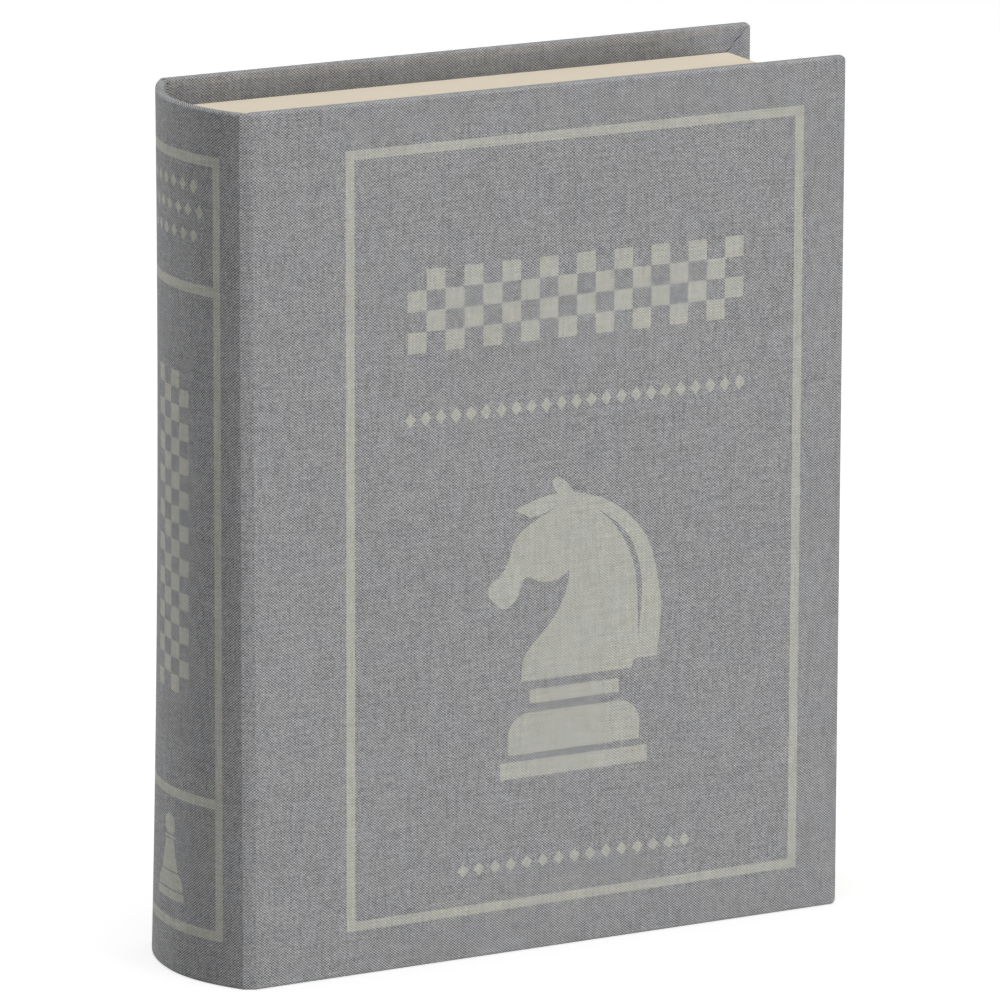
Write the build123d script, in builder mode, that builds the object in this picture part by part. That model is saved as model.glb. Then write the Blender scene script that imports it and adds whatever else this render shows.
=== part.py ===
from build123d import *
import os
from math import asin, cos, degrees, radians, sin

os.makedirs("parts", exist_ok=True)

# A book-shaped case for a chess set, closed and standing on its tail.
# Millimetres. +Z is up, -Y is the front cover's side, -X is the spine's side
# and +X the fore-edge. The origin is the middle of the footprint.

# The case as a whole: its height and width follow from what it holds
case_depth = 60.5
spine_bulge = 12.84        # how far the round spine stands out from the fold
fold_radius = 4.3          # outside radius of the two long folds

# Boards, cloth and paper
board_t = 2.2              # greyboard in the covers
spine_board_t = 1.8        # bent board in the spine
cloth_t = 0.4              # book cloth
joint_t = 0.8              # the two layers of cloth that are the hinge
lining_t = 0.3             # endpaper and spine lining
turn_in = 15.0             # cloth turned over the edges, inside
corner_r = 1.6             # corners of the covers at the fore-edge
joint_gap = 0.3            # cut between the hinge cloth and what it joins

# The tray that looks like the block of pages
tray_wall_t = 3.0
tray_floor_t = 2.0
tray_paper_t = 0.25
tray_spine_gap = 0.86      # from the fold to the tray
fore_square = 8.0          # cover standing out past the tray at the fore-edge
head_square = 8.3          # the same at head and tail
cover_gap = 0.3            # between the tray's rim and the closed cover
fit = 0.3                  # clearance of a piece that lifts out or lies loose
glue_gap = 0.1             # glue line between two boards
seat_gap = 0.2             # between a man and the felt that it lies on

# The tray of cells for the men
insert_floor_t = 2.0
insert_wall_t = 1.2
finger_trough = 18.6       # gap between the two sides' cells, for fingers and the loop
head_room = 0.5            # between a man's head and the end of its cell
cover_room = 1.5           # from a lying man's foot up to the top of the cells
felt_t = 0.8               # cloth on the cells' floor and under each man
felt_inset = 0.6           # felt under a man, inside the edge of its foot
rib_t = 8.0                # ribs under the cells
loop_width = 12.0          # lifting loop
loop_t = 0.6
loop_height = 17.0
loop_span = 9.0

# The folding board, in four leaves
square = 30.0
board_border = 10.0
leaf_t = 2.6
leaf_paper_t = 0.2
leaf_gap = 0.2
tape_t = 0.3
rail_t = 2.0
rail_clear = 1.0

# The booklet of rules
booklet_width = 40.0
booklet_height = 130.0
booklet_t = 1.2
booklet_room = 3.34        # from the booklet to the fore-edge wall
staple_d = 0.5
staple_length = 12.0

# The men: height, and diameter of the foot
king_size = (64.0, 22.0)
queen_size = (58.0, 21.0)
bishop_size = (51.0, 19.8)
knight_size = (47.0, 19.8)
rook_size = (41.0, 19.8)
pawn_size = (38.0, 18.0)
foot_rim = 3.0             # straight edge of a man's foot
collar_t = 1.6

# A cell is as long as the man that lies in it, on felt, with its own felt under its foot
officer_sizes = (king_size, queen_size, bishop_size, knight_size, rook_size)
cell_spare = felt_t + seat_gap
officer_cell = cell_spare + max(size[0] for size in officer_sizes) + head_room
pawn_cell = cell_spare + pawn_size[0] + head_room
cell_depth = cell_spare + max(size[1] for size in officer_sizes + (pawn_size,)) + cover_room

# The height is two sides' rows of cells, with the walls round them
tray_edge = tray_wall_t + 2 * tray_paper_t
rows_length = 2 * (officer_cell + pawn_cell) + finger_trough + 4 * insert_wall_t
case_height = rows_length + 2 * (insert_wall_t + fit + tray_edge + head_square)

# The width is the folded board, a rail and the booklet, with the walls round them
leaf_size = 4 * square + board_border
bay_width = leaf_size + rail_t + booklet_width + 3 * rail_clear + booklet_room
cover_width = tray_spine_gap + bay_width + 2 * tray_edge + fore_square

# Outer planes of the case
x_spine = -(cover_width + spine_bulge) / 2
x_fold = x_spine + spine_bulge
x_edge = x_fold + cover_width
y_front = -case_depth / 2
y_back = case_depth / 2
cover_t = board_t + 2 * cloth_t
spine_t = spine_board_t + 2 * cloth_t

# The spine's arc touches the two fold arcs, whose centres lie on x_fold
fold_half = case_depth / 2 - fold_radius
spine_radius = (spine_bulge**2 + fold_half**2 - fold_radius**2) / (2 * (spine_bulge - fold_radius))
spine_x = x_spine + spine_radius
fold_angle = degrees(asin(fold_half / (spine_radius - fold_radius)))
arc_end = fold_angle - degrees(joint_gap / spine_radius)

# The hinge lines lie on the outside of the folds, halfway round them
hinge_angle = radians((fold_angle + 90) / 2)
hinge_x = x_fold - fold_radius * cos(hinge_angle)
hinge_y = fold_half + fold_radius * sin(hinge_angle)


def span(low, size):
    return (low, low + size)


def inset(limits, amount):
    return (limits[0] + amount, limits[1] - amount)


def middle(limits):
    return (limits[0] + limits[1]) / 2


def block(x, y, z, mode=Mode.ADD):
    """A box between two planes along each axis."""
    with Locations((middle(x), middle(y), middle(z))):
        return Box(x[1] - x[0], y[1] - y[0], z[1] - z[0], mode=mode)


def arc_band(centre, outer, inner, start, size):
    """The face between two arcs of one centre, in the XY plane."""
    with BuildSketch() as band:
        with BuildLine():
            far = CenterArc(centre, outer, start, size)
            near = CenterArc(centre, inner, start, size)
            Line(far @ 0, near @ 0)
            Line(far @ 1, near @ 1)
        make_face()
    return band.sketch


def keep(builder, name):
    builder.part.label = name
    export_step(builder.part, f"parts/{name}.step")


# Covers

cover_x = (x_fold + joint_gap, x_edge)
full_z = (0, case_height)
board_z = inset(full_z, cloth_t)
window_z = inset(full_z, turn_in)
board_x = (cover_x[0], x_edge - cloth_t)
window_x = (cover_x[0] + turn_in, x_edge - turn_in)


def cover_slab(x, y, z, radius):
    """A flat panel with its two fore-edge corners rounded."""
    with BuildPart() as slab:
        block(x, y, z)
        corners = slab.edges().filter_by(Axis.Y).group_by(Axis.X)[-1]
        fillet(corners, radius)
    return slab


def cover_board(y):
    return cover_slab(board_x, y, board_z, corner_r - cloth_t)


def cover_cloth(y, board, inside):
    """Cloth over one face and round the edges, turned in on the other."""
    whole = cover_slab(cover_x, y, full_z, corner_r)
    with BuildPart() as cloth:
        add(whole.part)
        add(board.part, mode=Mode.SUBTRACT)
        block(window_x, inside, window_z, mode=Mode.SUBTRACT)
    return cloth


front_y = span(y_front, cover_t)
back_y = (y_back - cover_t, y_back)
front_inside = (front_y[1] - cloth_t, front_y[1])
back_inside = span(back_y[0], cloth_t)

front_board = cover_board(inset(front_y, cloth_t))
keep(front_board, "front_board")
back_board = cover_board(inset(back_y, cloth_t))
keep(back_board, "back_board")

front_cloth = cover_cloth(front_y, front_board, front_inside)
keep(front_cloth, "front_cloth")
back_cloth = cover_cloth(back_y, back_board, back_inside)
keep(back_cloth, "back_cloth")

with BuildPart() as front_endpaper:
    block(
        inset(window_x, fit),
        span(front_inside[0], lining_t),
        inset(window_z, fit),
    )
keep(front_endpaper, "front_endpaper")

# The paper over the back board lies hidden under the tray
with BuildPart() as back_endpaper:
    block(
        inset(window_x, fit),
        (back_inside[1] - lining_t, back_inside[1]),
        inset(window_z, fit),
    )
keep(back_endpaper, "back_endpaper")

# Spine

spine_centre = (spine_x, 0)
r_board = spine_radius - cloth_t
r_lining = r_board - spine_board_t


def spine_sector(outer, inner, z):
    with BuildPart() as sector:
        with BuildSketch(Plane.XY.offset(z[0])):
            add(arc_band(spine_centre, outer, inner, 180 - arc_end, 2 * arc_end))
        extrude(amount=z[1] - z[0])
    return sector


spine_board = spine_sector(r_board, r_lining, board_z)
keep(spine_board, "spine_board")

whole_spine = spine_sector(spine_radius, r_lining - cloth_t, full_z)
spine_window = spine_sector(r_lining, r_lining - 2 * cloth_t, window_z)
with BuildPart() as spine_cloth:
    add(whole_spine.part)
    add(spine_board.part, mode=Mode.SUBTRACT)
    add(spine_window.part, mode=Mode.SUBTRACT)
keep(spine_cloth, "spine_cloth")

spine_lining = spine_sector(r_lining, r_lining - lining_t, inset(window_z, fit))
keep(spine_lining, "spine_lining")


def joint_cloth(y, start):
    """The doubled cloth round one long fold."""
    with BuildPart() as strip:
        with BuildSketch():
            size = 90 - fold_angle
            add(arc_band((x_fold, y), fold_radius, fold_radius - joint_t, start, size))
        extrude(amount=case_height)
    return strip


front_joint_cloth = joint_cloth(-fold_half, 180 + fold_angle)
keep(front_joint_cloth, "front_joint_cloth")
back_joint_cloth = joint_cloth(fold_half, 90)
keep(back_joint_cloth, "back_joint_cloth")

# Tray

tray_x = (x_fold + tray_spine_gap, x_edge - fore_square)
tray_z = inset(full_z, head_square)
tray_y = (front_y[1] + cover_gap, back_y[0])
wall_x = inset(tray_x, tray_paper_t)
wall_z = inset(tray_z, tray_paper_t)
room_x = inset(wall_x, tray_wall_t)
room_z = inset(wall_z, tray_wall_t)
floor_y = (tray_y[1] - tray_floor_t, tray_y[1])
wall_y = (tray_y[0] + tray_paper_t, floor_y[0])

with BuildPart() as tray_floor:
    block(wall_x, floor_y, wall_z)
keep(tray_floor, "tray_floor")

with BuildPart() as tray_head_wall:
    block(wall_x, wall_y, (room_z[1], wall_z[1]))
keep(tray_head_wall, "tray_head_wall")

with BuildPart() as tray_tail_wall:
    block(wall_x, wall_y, (wall_z[0], room_z[0]))
keep(tray_tail_wall, "tray_tail_wall")

with BuildPart() as tray_fore_edge_wall:
    block((room_x[1], wall_x[1]), wall_y, room_z)
keep(tray_fore_edge_wall, "tray_fore_edge_wall")

with BuildPart() as tray_spine_wall:
    block((wall_x[0], room_x[0]), wall_y, room_z)
keep(tray_spine_wall, "tray_spine_wall")

# Cream paper: outside, over the rim and down the inside of the walls
inside_x = inset(room_x, tray_paper_t)
inside_z = inset(room_z, tray_paper_t)
with BuildPart() as tray_paper:
    block(tray_x, tray_y, tray_z)
    block(wall_x, (wall_y[0], tray_y[1]), wall_z, mode=Mode.SUBTRACT)
    block(room_x, (tray_y[0], floor_y[0]), room_z)
    block(inside_x, (tray_y[0], floor_y[0]), inside_z, mode=Mode.SUBTRACT)
keep(tray_paper, "tray_paper")

# Tray of cells, lifted out by its loop

insert_x = inset(inside_x, fit)
insert_z = inset(inside_z, fit)
cell_y = span(tray_y[0] + fit, cell_depth)
insert_floor_y = span(cell_y[1], insert_floor_t)
cells_x = inset(insert_x, insert_wall_t)
cells_z = inset(insert_z, insert_wall_t)

with BuildPart() as insert_floor:
    block(insert_x, insert_floor_y, insert_z)
keep(insert_floor, "insert_floor")

with BuildPart() as insert_end_walls:
    block(insert_x, cell_y, (cells_z[1], insert_z[1]))
    block(insert_x, cell_y, (insert_z[0], cells_z[0]))
keep(insert_end_walls, "insert_end_walls")

side_z = inset(cells_z, glue_gap)
with BuildPart() as insert_side_walls:
    block((insert_x[0], cells_x[0]), cell_y, side_z)
    block((cells_x[1], insert_x[1]), cell_y, side_z)
keep(insert_side_walls, "insert_side_walls")

# Rows of cells: officers at both ends, pawns next, a finger trough between
wall = insert_wall_t
light_officers_z = span(cells_z[0], officer_cell)
light_pawns_z = span(light_officers_z[1] + wall, pawn_cell)
dark_officers_z = (cells_z[1] - officer_cell, cells_z[1])
dark_pawns_z = (dark_officers_z[0] - wall - pawn_cell, dark_officers_z[0] - wall)
trough_z = (light_pawns_z[1] + wall, dark_pawns_z[0] - wall)

divider_x = inset(cells_x, glue_gap)
with BuildPart() as row_dividers:
    for low in (light_officers_z[1], light_pawns_z[1], trough_z[1], dark_pawns_z[1]):
        block(divider_x, cell_y, span(low, wall))
keep(row_dividers, "row_dividers")

# Every officer's cell has the same room to spare round the man's foot
officers = ("rook", "knight", "bishop", "queen", "king", "bishop", "knight", "rook")
sizes = {
    "king": king_size,
    "queen": queen_size,
    "bishop": bishop_size,
    "knight": knight_size,
    "rook": rook_size,
    "pawn": pawn_size,
}
width = cells_x[1] - cells_x[0]
files = len(officers)


def cells(names):
    """The x limits of the cells of one row."""
    feet = [sizes[name][1] for name in names]
    spare = (width - (files - 1) * wall - sum(feet)) / files
    found = []
    low = cells_x[0]
    for foot in feet:
        found.append(span(low, foot + spare))
        low += foot + spare + wall
    return found


officer_cells = cells(officers)
pawn_cells = cells(("pawn",) * files)
rows = (
    (light_officers_z, officer_cells),
    (light_pawns_z, pawn_cells),
    (dark_pawns_z, pawn_cells),
    (dark_officers_z, officer_cells),
)

with BuildPart() as cell_dividers:
    for row_z, row_cells in rows:
        for cell in row_cells[:-1]:
            block(span(cell[1], wall), cell_y, inset(row_z, glue_gap))
keep(cell_dividers, "cell_dividers")

felt_y = (cell_y[1] - felt_t, cell_y[1])
with BuildPart() as cell_felts:
    for row_z, row_cells in rows:
        for cell in row_cells:
            block(inset(cell, fit), felt_y, inset(row_z, fit))
    block(inset(cells_x, fit), felt_y, inset(trough_z, fit))
keep(cell_felts, "cell_felts")

# Ribbon loop that stands in the finger trough
loop_x = (-loop_width / 2, loop_width / 2)
loop_z = middle(trough_z)
loop_end = felt_y[0] - fit
with BuildPart() as lifting_loop:
    with BuildSketch(Plane.YZ.offset(loop_x[0])):
        bend = loop_span / 2
        with Locations((loop_end - loop_height + bend, loop_z)):
            Circle(bend)
        with Locations((loop_end - (loop_height - bend) / 2, loop_z)):
            Rectangle(loop_height - bend, loop_span)
        with Locations((loop_end - loop_height + bend, loop_z)):
            Circle(bend - loop_t, mode=Mode.SUBTRACT)
        with Locations((loop_end - (loop_height - bend) / 2, loop_z)):
            Rectangle(loop_height - bend, loop_span - 2 * loop_t, mode=Mode.SUBTRACT)
    extrude(amount=loop_width)
keep(lifting_loop, "lifting_loop")

# Folding board under the cells, with its rails and the booklet

leaf_full = leaf_t + 2 * leaf_paper_t
leaf_step = leaf_full + leaf_gap
leaf_count = 4
bay_back = floor_y[0]
stack_y = (bay_back - leaf_count * leaf_step, bay_back - leaf_gap)
leaf_x = span(inside_x[0] + rail_clear, leaf_size)
leaf_z = (middle(inside_z) - leaf_size / 2, middle(inside_z) + leaf_size / 2)


def leaf_y(number):
    """Thickness limits of one leaf, counted from the tray's floor."""
    back = bay_back - leaf_gap - number * leaf_step
    return (back - leaf_full, back)


with BuildPart() as board_leaves:
    for number in range(leaf_count):
        block(leaf_x, inset(leaf_y(number), leaf_paper_t), leaf_z)
keep(board_leaves, "board_leaves")

# The printed faces meet in pairs when the board is folded
with BuildPart() as board_faces:
    for number in range(leaf_count):
        front, back = leaf_y(number)
        low = front if number % 2 == 0 else back - leaf_paper_t
        block(leaf_x, span(low, leaf_paper_t), leaf_z)
keep(board_faces, "board_faces")

with BuildPart() as board_backs:
    for number in range(leaf_count):
        front, back = leaf_y(number)
        low = back - leaf_paper_t if number % 2 == 0 else front
        block(leaf_x, span(low, leaf_paper_t), leaf_z)
keep(board_backs, "board_backs")

with BuildPart() as board_hinges:
    for number in (0, 2):
        pair = (leaf_y(number + 1)[0], leaf_y(number)[1])
        block(span(leaf_x[1], tape_t), pair, leaf_z)
    pair = (leaf_y(2)[0], leaf_y(1)[1])
    block(leaf_x, pair, (leaf_z[0] - tape_t, leaf_z[0]))
keep(board_hinges, "board_hinges")

# The rails stand as far apart as the longer of the board and the booklet needs
bay_length = max(leaf_size, booklet_height) + 2 * rail_clear
bay_z = (middle(leaf_z) - bay_length / 2, middle(leaf_z) + bay_length / 2)
rail_y = (stack_y[0], bay_back)
rails_x = inset(inside_x, fit)
low_rail_z = (bay_z[0] - rail_t, bay_z[0])
high_rail_z = span(bay_z[1], rail_t)
long_rail_x = span(leaf_x[1] + rail_clear, rail_t)
with BuildPart() as bay_rails:
    block(rails_x, rail_y, low_rail_z)
    block(rails_x, rail_y, high_rail_z)
    block(long_rail_x, rail_y, (low_rail_z[1] + glue_gap, high_rail_z[0] - glue_gap))
keep(bay_rails, "bay_rails")

# Ribs under the cells bear on the rails and on the folded board
rib_y = (insert_floor_y[1], rail_y[0] - fit)
rib_z = inset(insert_z, insert_wall_t)
with BuildPart() as insert_ribs:
    for low in (insert_x[0], middle(insert_x) - rib_t / 2, insert_x[1] - rib_t):
        block(span(low, rib_t), rib_y, rib_z)
keep(insert_ribs, "insert_ribs")

booklet_x = span(long_rail_x[1] + rail_clear, booklet_width)
booklet_y = (bay_back - leaf_gap - booklet_t, bay_back - leaf_gap)
booklet_z = (middle(leaf_z) - booklet_height / 2, middle(leaf_z) + booklet_height / 2)
with BuildPart() as rules_booklet:
    block(booklet_x, booklet_y, booklet_z)
keep(rules_booklet, "rules_booklet")

with BuildPart() as booklet_staples:
    for side in (-1, 1):
        centre = middle(booklet_z) + side * booklet_height / 4
        ends = (centre - staple_length / 2, centre + staple_length / 2)
        depth = span(middle(booklet_y) - staple_d / 2, staple_d)
        block((booklet_x[0] - staple_d, booklet_x[0]), depth, ends)
keep(booklet_staples, "booklet_staples")

# Men, each made standing on the origin. A man's waist and collar are radii, as
# shares of the diameter of its foot, and so are the sizes of its head


def turned(foot, waist_share, collar_share, top):
    """The foot, the curved stem and the collar of a man."""
    radius = foot / 2
    waist = foot * waist_share
    collar = foot * collar_share
    neck = top - collar_t
    stem = (foot_rim + neck) / 2
    hollow = (waist + (radius - waist) * 0.22, foot_rim + (stem - foot_rim) * 0.42)
    with BuildPart() as form:
        with BuildSketch(Plane.XZ):
            with BuildLine():
                base = Line((0, 0), (radius, 0))
                rim = Line(base @ 1, (radius, foot_rim))
                curve = ThreePointArc(rim @ 1, hollow, (waist, stem))
                shaft = Line(curve @ 1, (waist, neck))
                under = Line(shaft @ 1, (collar, neck))
                edge = Line(under @ 1, (collar, top))
                over = Line(edge @ 1, (0, top))
                Line(over @ 1, base @ 0)
            make_face()
        revolve(axis=Axis.Z)
        fillet(form.edges().filter_by(GeomType.CIRCLE).group_by(Axis.Z)[1], foot_rim / 4)
    return form.part


def cup(z, low_radius, high_radius, height):
    """A flared head, as on a king or a queen."""
    with Locations((0, 0, z + height / 2)):
        Cone(low_radius, high_radius, height)


height, foot = pawn_size
ball = foot * 0.29
stem = turned(foot, 0.15, 0.27, height - 1.8 * ball)
with BuildPart() as pawn:
    add(stem)
    with Locations((0, 0, height - ball)):
        Sphere(ball)

height, foot = rook_size
turret = foot * 0.36
shoulder = height - 2.2 * turret
stem = turned(foot, 0.24, 0.34, shoulder)
with BuildPart() as rook:
    add(stem)
    cup(shoulder, foot * 0.24, turret, turret)
    with Locations((0, 0, height - 0.6 * turret)):
        Cylinder(turret, 1.2 * turret)
    with Locations((0, 0, height)):
        Cylinder(turret * 0.6, turret, mode=Mode.SUBTRACT)
        with PolarLocations(0, 3, start_angle=30):
            Box(2.4 * turret, turret * 0.3, turret * 0.9, mode=Mode.SUBTRACT)

height, foot = bishop_size
mitre = foot * 0.25
knob = foot * 0.07
tip = height - 1.5 * knob
shoulder = height - 4.6 * mitre
stem = turned(foot, 0.15, 0.27, shoulder)
with BuildPart() as bishop:
    add(stem)
    with BuildSketch(Plane.XZ):
        with BuildLine():
            start = Line((0, shoulder), (mitre * 0.55, shoulder))
            side = ThreePointArc(start @ 1, (mitre, shoulder + 1.5 * mitre), (0, tip))
            Line(side @ 1, start @ 0)
        make_face()
    revolve(axis=Axis.Z)
    with Locations(Location((mitre * 0.8, 0, tip - 1.5 * mitre), (0, 35, 0))):
        Box(mitre * 0.22, 3 * mitre, 2 * mitre, mode=Mode.SUBTRACT)
    with Locations((0, 0, height - knob)):
        Sphere(knob)

height, foot = queen_size
crown = foot * 0.29
knob = foot * 0.08
shoulder = height - 2.5 * crown
stem = turned(foot, 0.16, 0.28, shoulder)
with BuildPart() as queen:
    add(stem)
    cup(shoulder, foot * 0.15, crown, 1.8 * crown)
    with Locations((0, 0, shoulder + 1.8 * crown)):
        with PolarLocations(crown, 8):
            Sphere(crown * 0.26, mode=Mode.SUBTRACT)
        Sphere(crown * 0.6)
    with Locations((0, 0, height - knob)):
        Sphere(knob)

height, foot = king_size
crown = foot * 0.3
cross_arm = foot * 0.3
cross_bar = foot * 0.1
shoulder = height - 2.9 * crown
stem = turned(foot, 0.17, 0.29, shoulder)
with BuildPart() as king:
    add(stem)
    cup(shoulder, foot * 0.16, crown, 1.75 * crown)
    with Locations((0, 0, shoulder + 1.75 * crown)):
        Cylinder(crown, cross_bar)
        Sphere(crown * 0.62)
    with Locations((0, 0, height - cross_arm / 2)):
        Box(cross_bar, cross_bar, cross_arm)
        Box(cross_arm, cross_bar, cross_bar)

# The knight's head is cut from a thick slice. Its outline is in shares of the
# breadth of the neck and of the height over the plinth
height, foot = knight_size
plinth = height * 0.266
neck = foot * 0.36
stem = turned(foot, 0.3, 0.36, plinth)


def outline(across, up):
    return (neck * across, plinth + (height - plinth) * up)


with BuildPart() as knight:
    add(stem)
    with BuildSketch(Plane.XZ):
        with BuildLine():
            mane = Spline(outline(-1, -0.03), outline(-1.06, 0.29), outline(-0.75, 0.68), outline(0, 1))
            brow = Line(mane @ 1, outline(0.42, 0.87))
            nose = Spline(brow @ 1, outline(0.9, 0.72), outline(1.28, 0.58))
            muzzle = Line(nose @ 1, outline(1.12, 0.49))
            jaw = Line(muzzle @ 1, outline(0.62, 0.51))
            throat = Line(jaw @ 1, outline(0.3, 0.58))
            chest = Spline(throat @ 1, outline(0.45, 0.35), outline(1, 0.14), outline(0.9, -0.03))
            Line(chest @ 1, mane @ 0)
        make_face()
    extrude(amount=foot * 0.2, both=True)

forms = {
    "king": king,
    "queen": queen,
    "bishop": bishop,
    "knight": knight,
    "rook": rook,
    "pawn": pawn,
}

# Each man lies in its cell on its side, head up while the case stands


def spots(name, row_z, row_names, row_cells):
    """Where the feet of the men of one kind stand in their row."""
    radius = sizes[name][1] / 2
    found = []
    for cell_name, cell in zip(row_names, row_cells):
        if cell_name == name:
            found.append((middle(cell), felt_y[0] - seat_gap - radius, row_z[0] + seat_gap))
    return found


def lay(name, places):
    """Copies of one man in their cells, each on the felt under its foot."""
    with BuildPart() as men:
        for x, y, z in places:
            with Locations((x, y, z + felt_t)):
                add(forms[name].part)
    return men


sides = (
    ("light", light_officers_z, light_pawns_z),
    ("dark", dark_officers_z, dark_pawns_z),
)
pawn_names = ("pawn",) * files
for side, officers_z, pawns_z in sides:
    felt_spots = []
    for name in forms:
        if name == "pawn":
            places = spots(name, pawns_z, pawn_names, pawn_cells)
        else:
            places = spots(name, officers_z, officers, officer_cells)
        node = f"{side}_{name}" if len(places) == 1 else f"{side}_{name}s"
        keep(lay(name, places), node)
        for place in places:
            felt_spots.append((place, sizes[name][1] / 2 - felt_inset))
    with BuildPart() as foot_felts:
        for (x, y, z), radius in felt_spots:
            with Locations((x, y, z + felt_t / 2)):
                Cylinder(radius, felt_t)
    keep(foot_felts, f"{side}_foot_felts")

# What a change of size has to keep
print("spine radius", round(spine_radius, 2), "fold angle", round(fold_angle, 2))
print("hinge lines at x", round(hinge_x, 3), "y", round(-hinge_y, 3), "and", round(hinge_y, 3))
print("finger trough", round(trough_z[1] - trough_z[0], 2))
print("spare round a foot", round(officer_cells[0][1] - officer_cells[0][0] - rook_size[1], 2))
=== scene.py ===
# %% [markdown]
# # A chess case that looks like a book
#
# The case is made as a bookbinder makes one: two greyboards and a bent spine board under
# one skin of woven book cloth, folded round a tray of boards that is covered with cream
# paper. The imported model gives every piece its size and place. This lesson gives the
# pieces their surfaces: cloth that is really wrapped and turned in, ink that sits in the
# weave, paper, felt, ribbon and wood.

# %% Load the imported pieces
from math import asin, ceil, cos, dist, pi, radians, sin

import bmesh
import bpy
import numpy as np
from mathutils import Matrix, Vector, noise
from mathutils.geometry import delaunay_2d_cdt


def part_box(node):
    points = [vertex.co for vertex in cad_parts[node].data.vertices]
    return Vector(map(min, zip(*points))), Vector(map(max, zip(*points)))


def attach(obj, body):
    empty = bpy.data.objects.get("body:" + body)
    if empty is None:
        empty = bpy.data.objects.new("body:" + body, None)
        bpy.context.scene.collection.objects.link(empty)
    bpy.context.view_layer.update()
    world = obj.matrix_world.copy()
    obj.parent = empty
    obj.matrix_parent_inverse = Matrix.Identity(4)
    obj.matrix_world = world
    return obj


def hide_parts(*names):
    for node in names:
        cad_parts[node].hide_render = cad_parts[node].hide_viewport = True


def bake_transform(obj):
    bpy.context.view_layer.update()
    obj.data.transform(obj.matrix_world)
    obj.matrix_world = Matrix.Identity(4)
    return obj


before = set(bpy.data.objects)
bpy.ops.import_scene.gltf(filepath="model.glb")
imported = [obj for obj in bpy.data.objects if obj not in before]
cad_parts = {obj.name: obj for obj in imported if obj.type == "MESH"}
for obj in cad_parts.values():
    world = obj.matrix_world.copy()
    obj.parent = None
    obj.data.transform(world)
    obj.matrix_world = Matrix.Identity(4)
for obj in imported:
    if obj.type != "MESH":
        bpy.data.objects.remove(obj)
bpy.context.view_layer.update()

MM = 0.001

# %% [markdown]
# ## Measures
#
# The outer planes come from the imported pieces. The lengths below are in millimetres. The
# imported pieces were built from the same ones, except for the edges of the cloth.

# %% The case's measures
spine_bulge = 12.84  # how far the round spine stands out from the folds
fold_radius = 4.3  # outside radius of the two long folds
cloth_t = 0.4
joint_gap = 0.3  # cut between the fold's cloth and the covers
lining_t = 0.3
spine_t = 2.6  # spine board with its cloth
turn_in = 15.0  # cloth turned over the edges
corner_r = 1.6  # corners of the covers at the fore-edge
edge_round = 0.9  # radius of the cloth round the edge of a board
edge_steps = 4
quarter_turn = [pi / 2 * k / edge_steps for k in range(edge_steps + 1)]
hair = 0.01  # a length below this counts as nothing


def limits(name):
    """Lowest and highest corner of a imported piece, in millimetres."""
    low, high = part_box(name)
    return [c / MM for c in low], [c / MM for c in high]


(cloth_x, front_face, foot), (edge_x, front_inside, head) = limits("front_cloth")
_, (_, back_face, _) = limits("back_cloth")
fold_x = cloth_x - joint_gap
cover_t = front_inside - front_face
fold_half = back_face - fold_radius
spine_radius = (spine_bulge**2 + fold_half**2 - fold_radius**2) / (2 * (spine_bulge - fold_radius))
spine_centre = fold_x - spine_bulge + spine_radius
fold_angle = asin(fold_half / (spine_radius - fold_radius))
spine_half = spine_radius * fold_angle
fold_length = fold_radius * (pi / 2 - fold_angle)
cover_start = spine_half + fold_length
case_size = (edge_x - fold_x + spine_bulge, back_face - front_face, head)
print("case", [round(length, 1) for length in case_size])
print("spine radius", round(spine_radius, 2), "half its girth", round(spine_half, 2))

# %% [markdown]
# ## Short calls for node materials
#
# A material is a small network. Writing every node and link out hides what it does, so a
# tiny helper makes a node, feeds its sockets and hands back its outputs.


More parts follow.
